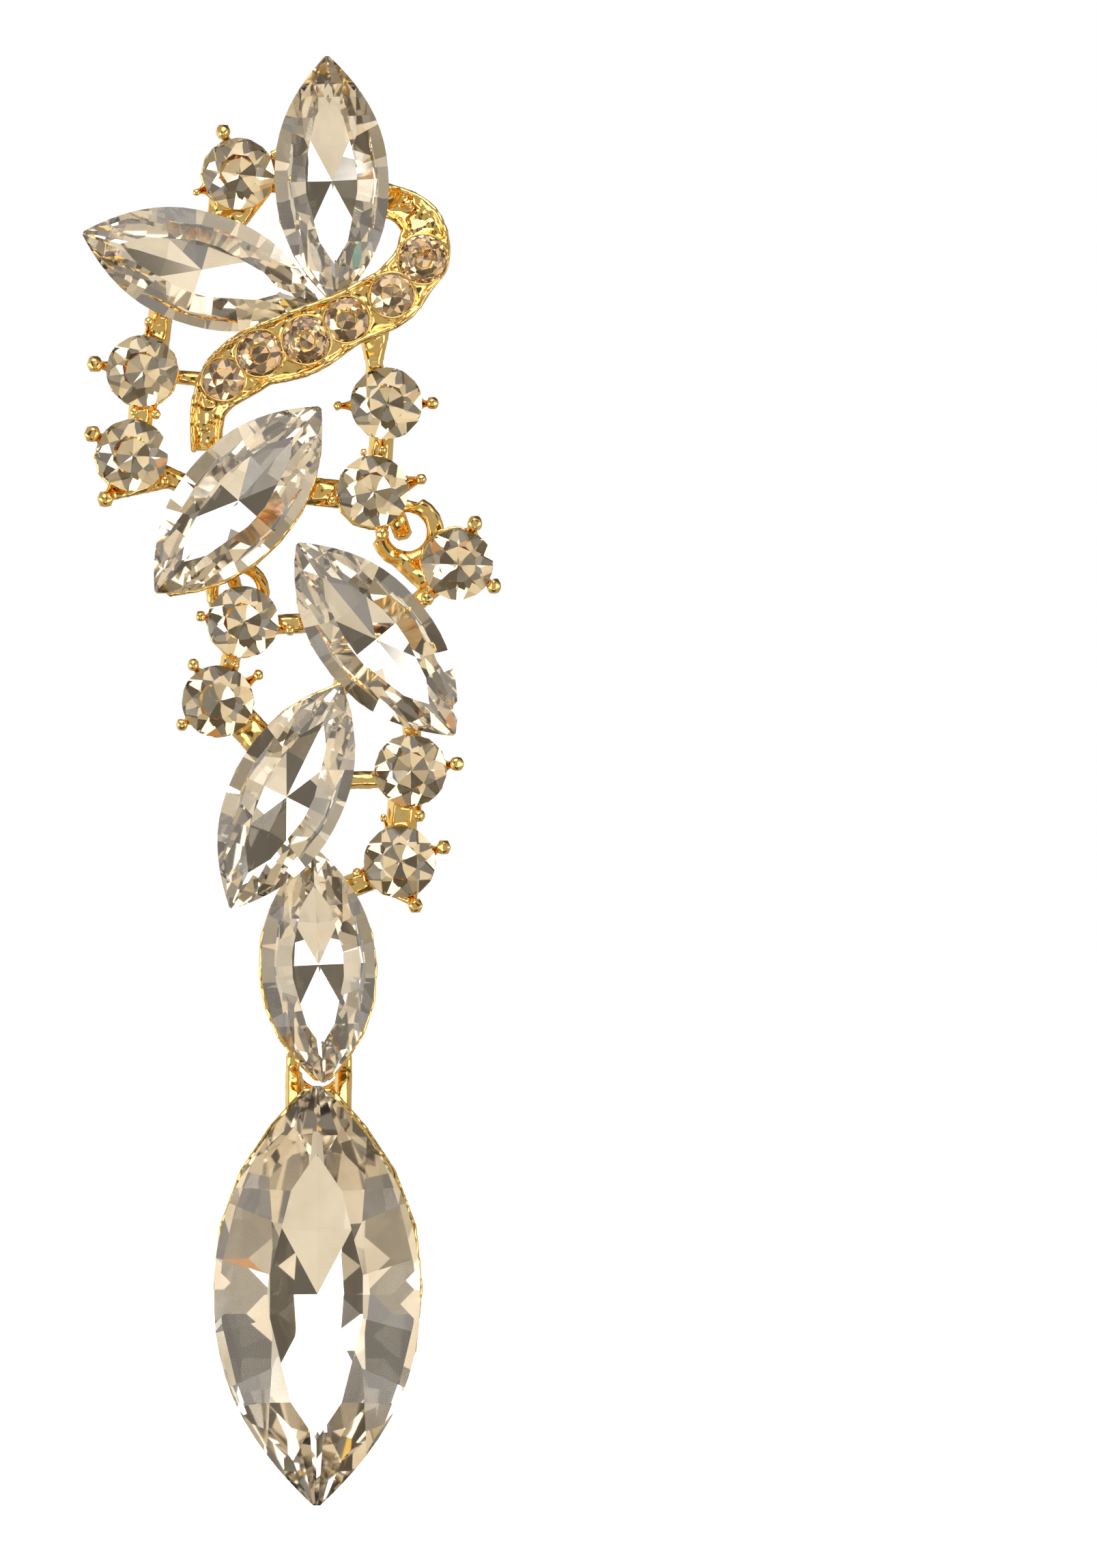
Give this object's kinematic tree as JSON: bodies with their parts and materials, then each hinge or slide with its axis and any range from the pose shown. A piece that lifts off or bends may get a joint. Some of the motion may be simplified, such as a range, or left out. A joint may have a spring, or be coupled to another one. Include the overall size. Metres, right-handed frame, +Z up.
{
  "type": "statement drop earring",
  "caption": "Long articulated drop earring for a pierced ear: cast metal sections set with marquise and round glass stones, hung one below the other, above a large marquise drop.",
  "frame": {"origin": "where the ear post leaves the back plane of the top section", "axes": "+Z up along the hanging earring, -Y the way the stones face, +Y back along the ear post, +X to the right of someone who looks at the stones"},
  "size_m": [0.0256, 0.0166, 0.0883],
  "materials": {
    "gold_plate": "polished",
    "champagne_glass": "faceted, foiled behind",
    "olive_glass": "faceted, foiled behind"
  },
  "bodies": {
    "top": {"top_frame": "gold_plate", "ear_post": "gold_plate", "stone_navette_1": "champagne_glass", "stone_navette_2": "champagne_glass", "stone_navette_3": "champagne_glass", "stone_round_1": "olive_glass", "stone_round_2": "olive_glass", "stone_round_3": "olive_glass", "stone_round_4": "olive_glass", "stone_round_5": "olive_glass"},
    "middle": {"middle_frame": "gold_plate", "stone_navette_4": "champagne_glass", "stone_navette_5": "champagne_glass", "stone_navette_6": "champagne_glass", "stone_round_6": "olive_glass", "stone_round_7": "olive_glass", "stone_round_8": "olive_glass", "stone_round_9": "olive_glass", "stone_round_10": "olive_glass"},
    "drop": {"drop_setting": "gold_plate", "stone_drop": "champagne_glass"}
  },
  "joints": [
    {"name": "middle_swing", "type": "hinge", "parent": "top", "child": "middle", "pos_m": [0.00447, -0.00075, -0.01657], "axis": [0.9421, 0, 0.3354], "range_deg": [-10, 30]},
    {"name": "drop_swing", "type": "hinge", "parent": "middle", "child": "drop", "pos_m": [-0.00042, -0.00036, -0.05047], "axis": [0, 1, 0], "range_deg": [-45, 45]}
  ]
}
